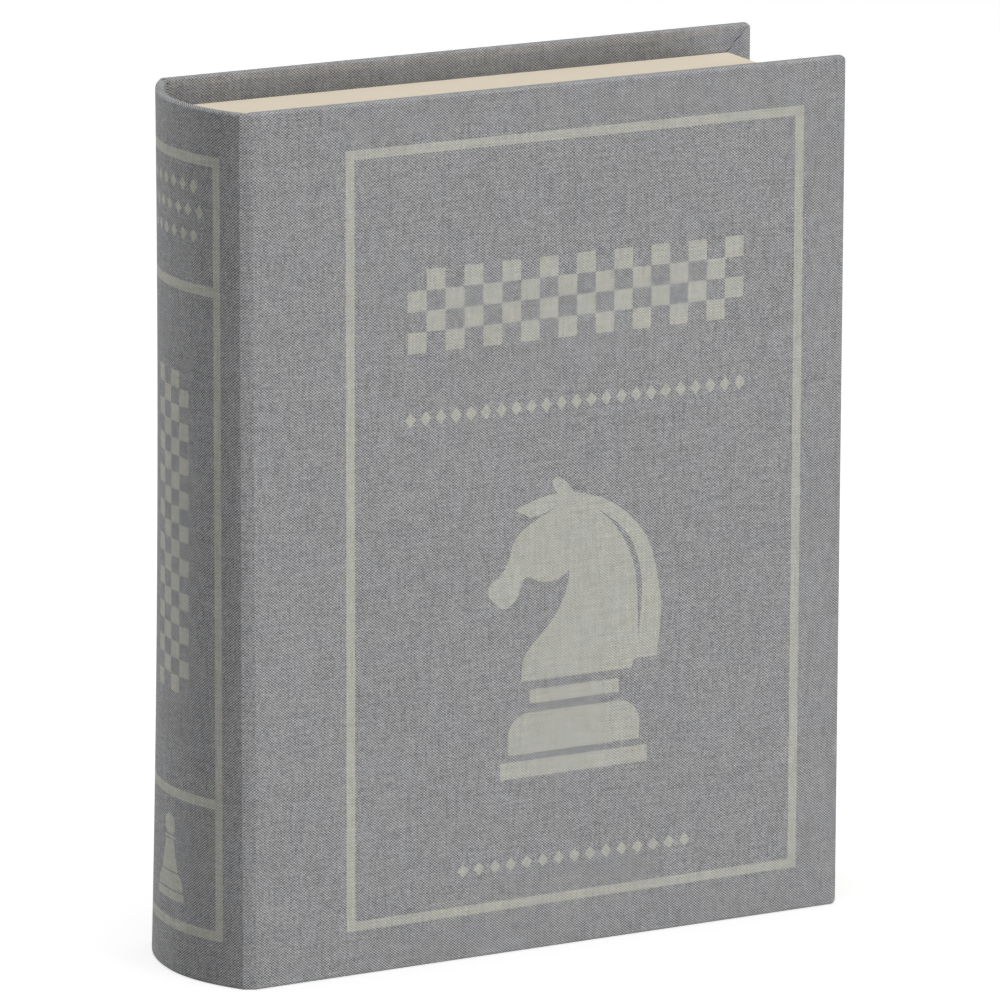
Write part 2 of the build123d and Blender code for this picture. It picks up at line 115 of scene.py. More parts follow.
# %% A helper for materials
class Finish:
    """One material, and short calls that add nodes to it."""

    def __init__(self, name, roughness, specular=0.3, sheen=0.0, coat=0.0, metallic=0.0):
        self.material = bpy.data.materials.new(name)
        self.material.use_nodes = True
        self.tree = self.material.node_tree
        self.surface = self.tree.nodes["Principled BSDF"]
        settings = {
            "Roughness": roughness,
            "Specular IOR Level": specular,
            "Sheen Weight": sheen,
            "Sheen Roughness": 0.4,
            "Coat Weight": coat,
            "Coat Roughness": 0.25,
            "Metallic": metallic,
        }
        for socket, value in settings.items():
            self.surface.inputs[socket].default_value = value

    def feed(self, socket, value):
        if isinstance(value, bpy.types.NodeSocket):
            self.tree.links.new(value, socket)
        elif value is not None:
            socket.default_value = value

    def node(self, kind, inputs, **settings):
        made = self.tree.nodes.new(kind)
        for name, value in settings.items():
            setattr(made, name, value)
        for key, value in inputs.items():
            self.feed(made.inputs[key], value)
        return made.outputs

    def math(self, operation, a, b=None, c=None):
        return self.node("ShaderNodeMath", {0: a, 1: b, 2: c}, operation=operation)[0]

    def vector(self, x, y, z=0.0):
        return self.node("ShaderNodeCombineXYZ", {0: x, 1: y, 2: z})[0]

    def split(self, vector):
        return self.node("ShaderNodeSeparateXYZ", {0: vector})

    def centred(self, pattern):
        """A pattern between 0 and 1, moved so that its middle is 0."""
        return self.math("SUBTRACT", pattern, 0.5)

    def shaded(self, tone, pattern, share):
        """A tone that a pattern between 0 and 1 makes lighter in places and darker in others."""
        return self.math("MULTIPLY_ADD", self.centred(pattern), share, tone)

    def noise(self, vector, scale, detail=2.0, roughness=0.5, distortion=0.0):
        inputs = {
            "Vector": vector,
            "Scale": scale,
            "Detail": detail,
            "Roughness": roughness,
            "Distortion": distortion,
        }
        return self.node("ShaderNodeTexNoise", inputs)["Fac"]

    def random(self, vector):
        return self.node("ShaderNodeTexWhiteNoise", {"Vector": vector})["Value"]

    def spread(self, value, low, high, to_low=0.0, to_high=1.0):
        """A value from one range, stretched to another and held inside it."""
        inputs = {0: value, 1: low, 2: high, 3: to_low, 4: to_high}
        return self.node("ShaderNodeMapRange", inputs)[0]

    def mix(self, share, first, second, blend_type="MIX"):
        inputs = {0: share, 6: first, 7: second}
        return self.node("ShaderNodeMix", inputs, data_type="RGBA", blend_type=blend_type)[2]

    def place(self):
        """The place on a rigid piece, in metres in its own frame."""
        return self.node("ShaderNodeTexCoord", {})["Object"]

    def place_on_cloth(self):
        """The place on the flat cloth, in millimetres."""
        return self.node("ShaderNodeUVMap", {}, uv_map="cloth")[0]

    def stretched(self, x, y, z):
        """The place, with each direction scaled by its own factor."""
        inputs = {"Vector": self.place(), "Scale": (x, y, z)}
        return self.node("ShaderNodeMapping", inputs)[0]

    def relief(self, height, distance, strength):
        inputs = {"Height": height, "Distance": distance, "Strength": strength}
        self.feed(self.surface.inputs["Normal"], self.node("ShaderNodeBump", inputs)[0])

    def colour(self, value, tone):
        """Colours the surface, lighter or darker by a tone whose middle is 1."""
        toned = self.mix(1.0, value, self.vector(tone, tone, tone), "MULTIPLY")
        self.feed(self.surface.inputs["Base Color"], toned)
        return self.material


def srgb(red, green, blue):
    """The light that a colour in a picture stands for. Its levels run from 11 to 255."""
    light = [((level / 255 + 0.055) / 1.055) ** 2.4 for level in (red, green, blue)]
    return (*light, 1.0)


# %% [markdown]
# ## Book cloth
#
# The cloth is a plain weave of fine linen thread, about twenty threads to a centimetre.
# Where a pale warp thread lies on top there is a light dot, where the weft does a dark
# one, and no two threads are quite alike. An image would blur or repeat. Here the shader
# counts threads across and up the cloth, so every crossing gets its own tone. The tones
# rise and fall in smooth waves, because edges finer than a pixel would turn to mush. The
# count is made on a UV map that holds the flat cloth in millimetres, so the weave turns
# the folds with the cloth.

# %% The weave
warp_pitch = 0.53
weft_pitch = 0.41
warp_shift = 0.14  # how far warp threads stray, so that some are thick and some thin
weft_shift = 0.1
sway_width = 0.9  # how widely all threads wander together
tone_length = 9.0  # how far a thread keeps its tone
tones_apart = 7.31  # keeps the tones of neighbouring threads unlike
mean_height = 0.4  # the middle of the weave's height, which runs from 0 to 1


def thread_tone(finish, along, number, seed):
    """The tone of one thread, which changes slowly along it. Its middle is 0."""
    slow = finish.math("DIVIDE", along, tone_length)
    apart = finish.math("MULTIPLY", number, tones_apart)
    place = finish.vector(slow, apart, seed)
    return finish.centred(finish.noise(place, scale=1.0, roughness=0.6))


def chance(finish, warp_no, weft_no, seed):
    """A random tone for each crossing. Its middle is 0."""
    return finish.centred(finish.random(finish.vector(warp_no, weft_no, seed)))


def strayed(finish, across, amount):
    """A small shift across the threads, the same all along them."""
    shift = finish.noise(finish.vector(across, 0.0), scale=0.9, detail=1.0)
    return finish.math("MULTIPLY", finish.centred(shift), amount)


def weave(finish):
    """Tones of the threads and crossings, and the height of the cloth."""
    flat = finish.place_on_cloth()
    across, up, _ = finish.split(flat)
    sway = finish.noise(flat, scale=0.03)
    sway = finish.math("MULTIPLY_ADD", sway, sway_width, -sway_width / 2)
    warp_stray = strayed(finish, across, warp_shift)
    weft_stray = strayed(finish, up, weft_shift)
    across = finish.math("ADD", finish.math("ADD", across, sway), warp_stray)
    up = finish.math("ADD", finish.math("SUBTRACT", up, sway), weft_stray)
    warp = finish.math("DIVIDE", across, warp_pitch)
    weft = finish.math("DIVIDE", up, weft_pitch)
    warp_no = finish.math("FLOOR", warp)
    weft_no = finish.math("FLOOR", weft)
    warp_wave = finish.math("SINE", finish.math("MULTIPLY", warp, pi))
    weft_wave = finish.math("SINE", finish.math("MULTIPLY", weft, pi))
    dots = finish.math("MULTIPLY", warp_wave, weft_wave)
    height = finish.math("ABSOLUTE", dots)
    warp_tone = thread_tone(finish, up, warp_no, seed=0.0)
    tones = {
        "dots": dots,
        "uneven_dots": finish.math("MULTIPLY", dots, chance(finish, warp_no, weft_no, seed=3.0)),
        "weft_lines": weft_wave,
        "crossings": finish.math("MULTIPLY", height, chance(finish, warp_no, weft_no, seed=0.0)),
        "warp": warp_tone,
        "dark_warp": finish.spread(warp_tone, low=0.12, high=0.2),
        "weft": thread_tone(finish, across, weft_no, seed=5.0),
        "cloud": finish.centred(finish.noise(flat, scale=0.03, detail=3.0)),
        # Painted shade: this tone follows the weave's height, so the cloth is darker in the low gaps
        # between threads.
        "height": finish.math("SUBTRACT", height, mean_height),
    }
    return tones, height


print("threads to a centimetre:", round(10 / warp_pitch), "warp and", round(10 / weft_pitch), "weft")

# %% Cloth bare and printed
darkest_tone = 0.1


def cloth_finish(name, cool, warm, shares):
    """Book cloth that drifts between two tints. shares says how strongly each tone shows."""
    finish = Finish(name, roughness=0.9, specular=0.2, sheen=0.03)
    tones, height = weave(finish)
    flat = finish.place_on_cloth()
    drift = finish.spread(finish.noise(flat, scale=0.09, detail=3.0), low=0.35, high=0.65)
    tone = 1.0
    for kind, share in shares.items():
        tone = finish.math("MULTIPLY_ADD", tones[kind], share, tone)
    tone = finish.math("MAXIMUM", tone, darkest_tone)
    finish.relief(height, distance=0.00007, strength=0.2)
    return finish.colour(finish.mix(drift, cool, warm), tone)


# The height share is painted shade in the gaps between threads, in both the bare and the printed
# cloth.
linen_shares = dict(
    dots=0.88, uneven_dots=0.65, weft_lines=0.04, crossings=0.75,
    warp=0.7, dark_warp=-0.25, weft=0.6, cloud=0.1, height=0.2,
)
ink_shares = dict(
    dots=0.34, uneven_dots=0.28, weft_lines=0.03, crossings=0.3,
    warp=0.45, weft=0.42, cloud=0.12, height=0.1,
)
linen = cloth_finish("grey_linen", srgb(155.2, 156.4, 158.4), srgb(156.4, 156.4, 156.6), linen_shares)
# Painted shade: a darker, cooler copy of the linen for the turned-in cloth inside the covers, standing
# in for the shade that falls there.
linen_painted_shade = cloth_finish(
    "turned_in_linen_painted_shade", srgb(144.5, 147.5, 152.5), srgb(145.5, 147.5, 151), linen_shares
)
ink = cloth_finish("ink_on_linen", srgb(186.5, 187.5, 179.8), srgb(188, 187.5, 178), ink_shares)
print("cloth:", linen.name, linen_painted_shade.name, "and", ink.name)

# %% [markdown]
# ## Paper, board, felt, ribbon, wood and steel
#
# The other finishes are simple things seen close: paper has clouds and fibres, greyboard
# has flecks of its waste paper, felt is a tangle of fibres, wood has long grain with
# short pores. Each pattern is measured in metres on the piece itself.

# %% Papers and boards


def paper_finish(name, colour, cloud=0.05, fibre=0.07, roughness=0.75):
    finish = Finish(name, roughness=roughness)
    clouds = finish.noise(finish.place(), scale=45, detail=4.0)
    fibres = finish.noise(finish.stretched(1.0, 1.0, 0.35), scale=2400, detail=3.0, roughness=0.6)
    tone = finish.shaded(1.0, clouds, cloud)
    tone = finish.shaded(tone, fibres, fibre)
    finish.relief(fibres, distance=0.00002, strength=0.5)
    return finish.colour(colour, tone)


def board_finish(name, colour, fleck_colour):
    finish = Finish(name, roughness=0.9, specular=0.2)
    flecks = finish.noise(finish.place(), scale=1500, roughness=0.7)
    pulp = finish.noise(finish.place(), scale=300, detail=4.0, roughness=0.6)
    base = finish.mix(finish.spread(flecks, low=0.6, high=0.72), colour, fleck_colour)
    finish.relief(pulp, distance=0.00006, strength=0.6)
    tone = finish.spread(pulp, low=0.2, high=0.8, to_low=0.9, to_high=1.1)
    return finish.colour(base, tone)


cream_paper = paper_finish("cream_block_paper", srgb(238, 226, 205))
end_paper = paper_finish("cream_endpaper", srgb(214, 208, 196))
back_paper = paper_finish("grey_board_backing", srgb(120, 122, 122), cloud=0.08, fibre=0.12)
booklet_paper = paper_finish(
    "booklet_paper", srgb(226, 221, 210), cloud=0.04, fibre=0.05, roughness=0.6
)
cell_card = paper_finish("cream_cell_card", srgb(205, 198, 182), cloud=0.06, fibre=0.08)
grey_board = board_finish("greyboard", srgb(134, 128, 118), srgb(84, 82, 80))
print("papers and boards made")

# %% Squares printed on the folding board
square_side = 0.03  # in metres, like every place on a piece
leaf_squares = 4.0  # squares along the side of one leaf


def squares_finish(name, corner, square, light, dark):
    """Squares counted from the corner where the four leaves meet."""
    finish = Finish(name, roughness=0.55, specular=0.4)
    corner_x, corner_z = corner
    x, _, z = finish.split(finish.place())
    file_no = finish.math("DIVIDE", finish.math("SUBTRACT", corner_x, x), square)
    rank_no = finish.math("DIVIDE", finish.math("SUBTRACT", z, corner_z), square)
    count = finish.math("ADD", finish.math("FLOOR", file_no), finish.math("FLOOR", rank_no))
    parity = finish.math("PINGPONG", count, 1.0)
    inside = finish.math("LESS_THAN", finish.math("MAXIMUM", file_no, rank_no), leaf_squares)
    fibres = finish.noise(finish.place(), scale=2400)
    print_colour = finish.mix(finish.math("MULTIPLY", parity, inside), light, dark)
    finish.relief(fibres, distance=0.00002, strength=0.4)
    tone = finish.spread(fibres, low=0.2, high=0.8, to_low=0.96, to_high=1.04)
    return finish.colour(print_colour, tone)


leaf_low, leaf_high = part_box("board_faces")
leaf_corner = (leaf_high[0], leaf_low[2])
squares = squares_finish(
    "printed_squares", leaf_corner, square_side, srgb(214, 208, 192), srgb(98, 101, 104)
)
print("squares of", round(square_side / MM), "mm, counted from the middle of the board")

# %% Felt and ribbon


def felt_finish(name, colour):
    finish = Finish(name, roughness=0.95, specular=0.1, sheen=0.35)
    tangle = finish.noise(finish.place(), scale=1900, detail=4.0, roughness=0.75, distortion=1.5)
    patches = finish.noise(finish.place(), scale=140, detail=3.0)
    tone = finish.shaded(1.0, tangle, share=0.9)
    tone = finish.shaded(tone, patches, share=0.3)
    finish.relief(tangle, distance=0.00025, strength=0.8)
    return finish.colour(colour, tone)


rib_pitch = 0.00055  # in metres


def ribbon_finish(name, colour):
    """Fine ribs across the ribbon, and threads that run along it."""
    finish = Finish(name, roughness=0.45, specular=0.5, sheen=0.2)
    _, along, up = finish.split(finish.place())
    turn = finish.math("MULTIPLY", finish.math("ADD", along, up), pi / rib_pitch)
    ribs = finish.math("ABSOLUTE", finish.math("SINE", turn))
    threads = finish.noise(finish.stretched(1.0, 0.1, 0.1), scale=4000)
    tone = finish.shaded(0.85, threads, share=0.4)
    tone = finish.math("MULTIPLY_ADD", ribs, 0.25, tone)
    finish.relief(ribs, distance=0.00008, strength=0.7)
    return finish.colour(colour, tone)


cell_felt = felt_finish("charcoal_felt", srgb(74, 78, 82))
foot_felt = felt_finish("dark_foot_felt", srgb(52, 56, 54))
ribbon = ribbon_finish("grey_ribbon", srgb(108, 110, 113))
print("felt and ribbon made")

# %% Wood and wire
ring_folds = 9.0  # the noise is folded this often to make the rings


def wood_finish(name, pale, deep, roughness):
    """Grain that runs up each man, with growth rings drawn out along it."""
    finish = Finish(name, roughness=roughness, specular=0.45, coat=0.25)
    drawn_out = finish.stretched(1.0, 1.0, 0.12)
    warped = finish.noise(drawn_out, scale=60, detail=3.0, roughness=0.55, distortion=1.2)
    rings = finish.math("PINGPONG", finish.math("MULTIPLY", warped, ring_folds), 1.0)
    streaks = finish.noise(finish.stretched(1.0, 1.0, 0.05), scale=900, detail=3.0, roughness=0.6)
    pores = finish.noise(finish.stretched(1.0, 1.0, 0.08), scale=2600, detail=1.0)
    base = finish.mix(finish.spread(rings, low=0.1, high=0.95), pale, deep)
    tone = finish.shaded(1.0, streaks, share=0.35)
    tone = finish.math("MULTIPLY_ADD", finish.spread(pores, low=0.66, high=0.74), -0.25, tone)
    finish.relief(streaks, distance=0.00003, strength=0.35)
    return finish.colour(base, tone)


light_wood = wood_finish("pale_maple", srgb(222, 190, 145), srgb(198, 158, 110), roughness=0.42)
dark_wood = wood_finish("dark_walnut", srgb(92, 60, 42), srgb(56, 36, 27), roughness=0.4)

wire = Finish("staple_wire", roughness=0.32, metallic=1.0)
drawn = wire.noise(wire.stretched(1.0, 1.0, 0.05), scale=4000)
wire.relief(drawn, distance=0.00001, strength=0.5)
wire_tone = wire.spread(drawn, low=0.2, high=0.8, to_low=0.85, to_high=1.05)
staple_wire = wire.colour(srgb(200, 200, 204), wire_tone)
print("wood:", light_wood.name, dark_wood.name)

# %% [markdown]
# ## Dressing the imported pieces
#
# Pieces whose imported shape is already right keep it: boards, papers, dividers and the
# turned men. They only need their finish, so a table says which pieces each material
# covers. The men's own names say which of the two woods they are of.

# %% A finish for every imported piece
dressing = (
    (grey_board, ["front_board", "back_board", "spine_board", "insert_ribs", "board_leaves"]),
    (grey_board, ["tray_floor", "tray_head_wall", "tray_tail_wall", "tray_fore_edge_wall"]),
    (grey_board, ["tray_spine_wall", "bay_rails"]),
    (linen, ["front_cloth", "back_cloth", "spine_cloth", "front_joint_cloth", "back_joint_cloth"]),
    (end_paper, ["front_endpaper", "back_endpaper", "spine_lining"]),
    (cream_paper, ["tray_paper"]),
    (cell_card, ["insert_floor", "insert_end_walls", "insert_side_walls"]),
    (cell_card, ["row_dividers", "cell_dividers"]),
    (cell_felt, ["cell_felts"]),
    (ribbon, ["lifting_loop"]),
    (squares, ["board_faces"]),
    (back_paper, ["board_backs", "board_hinges"]),
    (booklet_paper, ["rules_booklet"]),
    (staple_wire, ["booklet_staples"]),
    (foot_felt, ["light_foot_felts", "dark_foot_felts"]),
)
finishes = {name: material for material, names in dressing for name in names}
for name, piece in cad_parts.items():
    wood = light_wood if name.startswith("light_") else dark_wood
    material = finishes.get(name, wood)
    piece.data.materials.clear()
    piece.data.materials.append(material)
print("dressed", len(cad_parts), "packed pieces")

# %% [markdown]
# ## Meshes from flat drawings
#
# A cloth is drawn flat, in millimetres, and then bent into place. So a mesh here is a
# list of points with their flat places beside them. The flat places become the UV map
# that the weave reads. Points in the same place are welded after that, so that a cut in
# the cloth stays a cut in the UV map.

# %% Make a piece from points and faces
weld = 0.002  # points closer than this become one
sliver = 0.0005  # edges shorter than this are dropped
sharp_edge = 38.0  # faces that meet at more degrees than this show an edge


def placed(name, data):
    """An object in the scene that holds some data."""
    made = bpy.data.objects.new(name, data)
    bpy.context.scene.collection.objects.link(made)
    return made


def make_piece(name, points, faces, flat, materials, choices=None, sharp=sharp_edge):
    """A mesh in the frame, from points in millimetres. choices gives each face its material."""
    mesh = bpy.data.meshes.new(name)
    mesh.from_pydata([[c * MM for c in p] for p in points], [], faces)
    for material in materials:
        mesh.materials.append(material)
    if choices is not None:
        mesh.polygons.foreach_set("material_index", choices)
    corners = np.zeros(len(mesh.loops), int)
    mesh.loops.foreach_get("vertex_index", corners)
    layer = mesh.uv_layers.new(name="cloth")
    layer.uv.foreach_set("vector", np.array(flat, np.float32)[corners].ravel())
    work = bmesh.new()
    work.from_mesh(mesh)
    bmesh.ops.remove_doubles(work, verts=work.verts, dist=weld * MM)
    bmesh.ops.dissolve_degenerate(work, edges=work.edges, dist=sliver * MM)
    work.to_mesh(mesh)
    work.free()
    mesh.shade_smooth()
    mesh.set_sharp_from_angle(angle=radians(sharp))
    return placed(name, mesh)


# %% [markdown]
# ## Wrapping a board
#
# A binder lays the board on cloth spread with glue and turns the edges in. The skin is
# made the same way: one flat face, then rings of points that go round the edge of the
# board and back over its inside, as far as the cloth is turned in. At the two outer
# corners the cloth meets in a mitre. The flaps at head and tail are turned first, so
# they lie a little lower there, and the flap of the fore-edge makes a fine step over
# them. The turned cloth gets a darker, cooler copy of the linen, a finish of its own:
# it is painted shade, for the shade that falls inside the covers.

# %% Points once round a panel
side_steps = 36  # points along a long side
corner_steps = 8  # points round a corner
flap_steps = 8  # rings of points across a turned-in flap
mitre_r = 0.45  # how tight the turned cloth is at the mitre
mitre_step = 0.36  # how much lower the first flaps lie at the mitre
mitre_reach = 40.0  # how far from the corner they come level again


def panel_turn(panel, inset, side_inset):
    """Points once round a panel, each with the side that its cloth is turned from."""
    left, right, low, high, corner = panel
    radius = max(corner - inset, mitre_r) if corner else 0.0
    left += side_inset
    right -= inset if corner else side_inset
    low += inset
    high -= inset
    turn = []

    def side(name, start, end):
        for k in range(side_steps + 1):
            t = k / side_steps
            turn.append((start[0] + (end[0] - start[0]) * t, start[1] + (end[1] - start[1]) * t, name))

    def bend(centre, start, first, second):
        if not corner:
            return
        half_steps = corner_steps // 2
        steps = [(k, first) for k in range(1, half_steps + 1)]
        steps += [(k, second) for k in range(half_steps, corner_steps)]
        for k, name in steps:
            angle = radians(start + 90 * k / corner_steps)
            turn.append((centre[0] + radius * cos(angle), centre[1] + radius * sin(angle), name))

    side("tail", (left, low), (right - radius, low))
    bend((right - radius, low + radius), -90, "tail", "fore_edge")
    side("fore_edge", (right, low + radius), (right, high - radius))
    bend((right - radius, high - radius), 0, "fore_edge", "head")
    side("head", (right - radius, high), (left, high))
    side("fold", (left, high), (left, low))
    return turn


# %% Flat places, flaps and rings


def laid_flat(panel, spot, beyond):
    """Where a point lies on the flat cloth, some distance beyond the panel's edge."""
    left, right, low, high, _ = panel
    u, v, side = spot
    return {
        "tail": (u, low - beyond),
        "head": (u, high + beyond),
        "fore_edge": (right + beyond, v),
        "fold": (left - beyond, v),
    }[side]


def eased(share):
    """A share held between 0 and 1, with a gentle start and end."""
    share = max(0.0, min(1.0, share))
    return share * share * (3 - 2 * share)


def flap_sink(panel, spot):
    """How much lower a flap at head or tail lies near the mitre."""
    _, right, _, _, corner = panel
    u, _, side = spot
    if not corner or side not in ("head", "tail"):
        return 0.0
    return mitre_step * eased(1 - (right - u) / mitre_reach)


def edge_rings(thickness, side_turned):
    """Inset, inset at the fold side, depth and flat distance of each ring round the edge."""
    rings = []
    for angle in quarter_turn:
        inset = edge_round * (1 - sin(angle))
        depth = edge_round * (1 - cos(angle))
        rings.append((inset, 0.0, depth, edge_round * (angle - 1)))
    flat = rings[-1][3] + thickness - 2 * edge_round
    for angle in quarter_turn:
        inset = edge_round * (1 - cos(angle))
        depth = thickness - edge_round * (1 - sin(angle))
        rings.append((inset, 0.0, depth, flat + edge_round * angle))
    first, _, _, beyond = rings[-1]
    for k in range(1, flap_steps + 1):
        inset = first + (turn_in - first) * k / flap_steps
        rings.append((inset, inset if side_turned else 0.0, thickness, beyond + inset - first))
    inset, side_inset, _, beyond = rings[-1]
    rings.append((inset, side_inset, thickness - cloth_t, beyond + cloth_t))
    return rings


# %% [markdown]
# ## Cutting the print into the face
#
# The ink has crisp edges at any distance, so its outlines are cut into the mesh. A
# constrained triangulation takes the border of the face, every printed outline and a
# loose grid of points, and returns triangles that never cross an outline. It also says
# which outlines hold each triangle, and that tells ink from bare cloth.

# %% Triangles with printed outlines
# The third finish is painted shade, the darker linen of the turned-in cloth.
skin_finishes = [linen, ink, linen_painted_shade]
bare, inked, turned_in_shade = range(len(skin_finishes))
keep_inside = 1  # keeps the triangles that lie inside the outlines
smallest_gap = 1e-4  # outlines that come closer than this touch


def joined(*lines):
    """One closed outline from lines that follow each other."""
    outline = []
    for line in lines:
        for spot in line:
            if not outline or dist(spot, outline[-1]) > hair:
                outline.append(spot)
    if dist(outline[0], outline[-1]) < hair:
        outline.pop()
    return outline


def area_of(outline):
    """The area inside an outline, negative where it runs clockwise."""
    sides = zip(outline, outline[1:] + outline[:1])
    return sum(x0 * y1 - x1 * y0 for (x0, y0), (x1, y1) in sides) / 2


def stepped(outline, longest):
    """The outline with no stretch longer than a given step."""
    found = []
    for (x0, y0), (x1, y1) in zip(outline, outline[1:] + outline[:1]):
        parts = max(1, ceil(dist((x0, y0), (x1, y1)) / longest))
        for k in range(parts):
            found.append((x0 + (x1 - x0) * k / parts, y0 + (y1 - y0) * k / parts))
    return found


def printed_face(border, shapes, step_u, step_v):
    """Points and triangles inside a border, and the finish of each triangle.

    A shape is an outline with 1 for ink, or -1 where it takes ink away again.
    """
    outlines = [border] + [stepped(shape, 2.0 * step_u) for shape, _ in shapes]
    signs = [0] + [sign for _, sign in shapes]
    points = []
    loops = []
    for outline in outlines:
        if area_of(outline) < 0:
            outline = outline[::-1]
        loops.append(list(range(len(points), len(points) + len(outline))))
        points.extend(outline)
    us = [p[0] for p in border]
    vs = [p[1] for p in border]
    columns = round((max(us) - min(us)) / step_u)
    rows = round((max(vs) - min(vs)) / step_v)
    for i in range(1, columns):
        for j in range(1, rows):
            points.append((min(us) + step_u * i, min(vs) + step_v * j))
    spots = [Vector(p) for p in points]
    found = delaunay_2d_cdt(spots, [], loops, keep_inside, smallest_gap, True)
    corners, _, triangles, _, _, outlines_round = found
    choices = [inked if sum(signs[i] for i in held) > 0 else bare for held in outlines_round]
    return corners, triangles, choices


def wrapped_skin(name, panel, thickness, side_turned, place, along, shapes, grid):
    """Cloth over one face of a board, round its edges and turned in behind."""
    rings = edge_rings(thickness, side_turned)
    turns = [panel_turn(panel, inset, side) for inset, side, _, _ in rings]
    border = joined([spot[:2] for spot in turns[0]])
    face_points, faces, choices = printed_face(border, shapes, *grid)
    points = [place(u, v, 0.0) for u, v in face_points]
    flat = [(along(u), v) for u, v in face_points]
    columns = len(turns[0])
    start = len(points)
    for (inset, _, depth, beyond), turn in zip(rings, turns):
        turned = depth >= thickness - cloth_t - hair and inset > edge_round
        for spot in turn:
            sink = flap_sink(panel, spot) if turned else 0.0
            points.append(place(spot[0], spot[1], depth - sink))
            u, v = laid_flat(panel, spot, beyond)
            flat.append((along(u), v))
    for r, (inset, _, depth, _) in enumerate(rings[:-1]):
        # Painted shade: the turned-in cloth inside the covers takes the darker linen.
        choice = turned_in_shade if inset > edge_round and depth > edge_round else bare
        for k in range(columns):
            a = start + r * columns + k
            b = start + r * columns + (k + 1) % columns
            quad = (a, b, b + columns, a + columns)
            corners = {tuple(round(c, 3) for c in points[i]) for i in quad}
            if len(corners) >= 3:
                faces.append(quad)
                choices.append(choice)
    return make_piece(name, points, faces, flat, skin_finishes, choices)


print("a skin has", len(edge_rings(cover_t, True)), "rings round its edge")

# %% [markdown]
# ## The drawing on the front
#
# The front carries a plain line frame and a knight, the common figure of the chess
# piece. A band of small squares and two rows of lozenges fill the field above and below
# it. Round stretches are arcs, or smooth lines through a few points.

# %% Drawing helpers


def box_outline(left, right, low, high):
    return [(left, low), (right, low), (right, high), (left, high)]


def smooth(points, steps=6):
    """A smooth line through a few points."""
    ends = [points[0], *points, points[-1]]
    line = []
    for a, b, c, d in zip(ends, ends[1:], ends[2:], ends[3:]):
        for k in range(steps):
            t = k / steps
            spot = []
            for p, q, r, s in zip(a, b, c, d):
                bow = (2 * p - 5 * q + 4 * r - s) * t**2 + (3 * q - p - 3 * r + s) * t**3
                spot.append((2 * q + (r - p) * t + bow) / 2)
            line.append(tuple(spot))
    line.append(points[-1])
    return line


def arc(centre_u, centre_v, radius, start, end, step):
    """Points round a circle, from one angle to another in degrees."""
    turns = [radians(angle) for angle in range(start, end + 1, step)]
    return [(centre_u + radius * cos(turn), centre_v + radius * sin(turn)) for turn in turns]


def moved(outline, across, up):
    return [(u + across, v + up) for u, v in outline]


def chequer(centre_u, centre_v, cell, columns, rows):
    """Every second square of a band, as on a chess board."""
    found = []
    left = centre_u - cell * columns / 2
    low = centre_v - cell * rows / 2
    for i in range(columns):
        for j in range(rows):
            if (i + j) % 2 == 0:
                u = left + cell * i
                v = low + cell * j
                found.append((box_outline(u, u + cell, v, v + cell), 1))
    return found


def lozenges(centre_u, centre_v, count, pitch, width, height):
    """A row of small lozenges."""
    found = []
    for k in range(count):
        u = centre_u + (k - (count - 1) / 2) * pitch
        low = (u, centre_v - height / 2)
        high = (u, centre_v + height / 2)
        found.append(([(u - width / 2, centre_v), low, (u + width / 2, centre_v), high], 1))
    return found


# %% The knight
mane = [(27.6, 31.9), (28.7, 40.5), (28.7, 50.5), (25.2, 66.2), (18.6, 75.4), (10.6, 81.2)]
brow = [(-5.2, 81.6), (-10.4, 78.7), (-15.6, 76.0), (-19.8, 72.3), (-21.4, 67.6), (-23.6, 63.2)]
nose = (-28.2, 59.4)
muzzle = [(-28.4, 56.8), (-26.4, 54.0), (-22.9, 52.0), (-19.2, 54.4), (-17.9, 57.6)]
knight_body = joined(
    [(-17.5, 29.2), (19.2, 29.2), (20.0, 31.9)],
    smooth([*mane, (3.2, 84.0)]),
    smooth([(-0.2, 84.6), (-2.2, 87.4), (-5.2, 90.0)], 4),
    smooth([(-7.6, 89.0), (-7.0, 86.8), (-5.6, 84.9)], 3),
    smooth([(-8.2, 84.8), (-13.2, 83.7), (-19.8, 81.4)], 4),
    smooth([(-14.6, 78.5), (-9.6, 79.6), (-5.2, 81.6)], 4),
    smooth([*brow, nose]),
    smooth([nose, *muzzle, (-17.0, 60.0)], 4),
    smooth([(-17.0, 60.0), (-15.2, 60.7), (-12.2, 59.2), (-8.4, 58.6), (-4.6, 59.5), (-1.6, 61.5)], 4),
    smooth([(-1.6, 61.5), (-3.2, 54.0), (-7.8, 46.4), (-14.8, 39.2), (-17.2, 34.6), (-17.5, 29.2)]),
)
knight_mane_line = joined(
    smooth([(6.8, 79.6), (14.0, 72.5), (18.7, 63.8), (20.9, 53.0), (21.2, 38.0)]),
    smooth([(21.2, 38.0), (22.6, 53.0), (20.4, 65.0), (15.4, 72.7), (6.8, 79.6)]),
)
block_half = 21.9
block_low = 7.2
shoulder_low = 12.6
shoulder_r = 7.0
shoulder_u = block_half - shoulder_r
knight_block = joined(
    [(-block_half, block_low), (block_half, block_low)],
    arc(shoulder_u, shoulder_low, shoulder_r, start=0, end=90, step=15),
    arc(-shoulder_u, shoulder_low, shoulder_r, start=90, end=180, step=15),
)
knight = [
    (knight_body, 1),
    (knight_mane_line, -1),
    (box_outline(-14.9, 14.9, 22.3, 26.5), 1),
    (knight_block, 1),
    (box_outline(-24.5, 24.5, 0.0, 5.1), 1),
]
print("knight:", sum(len(outline) for outline, _ in knight), "points")

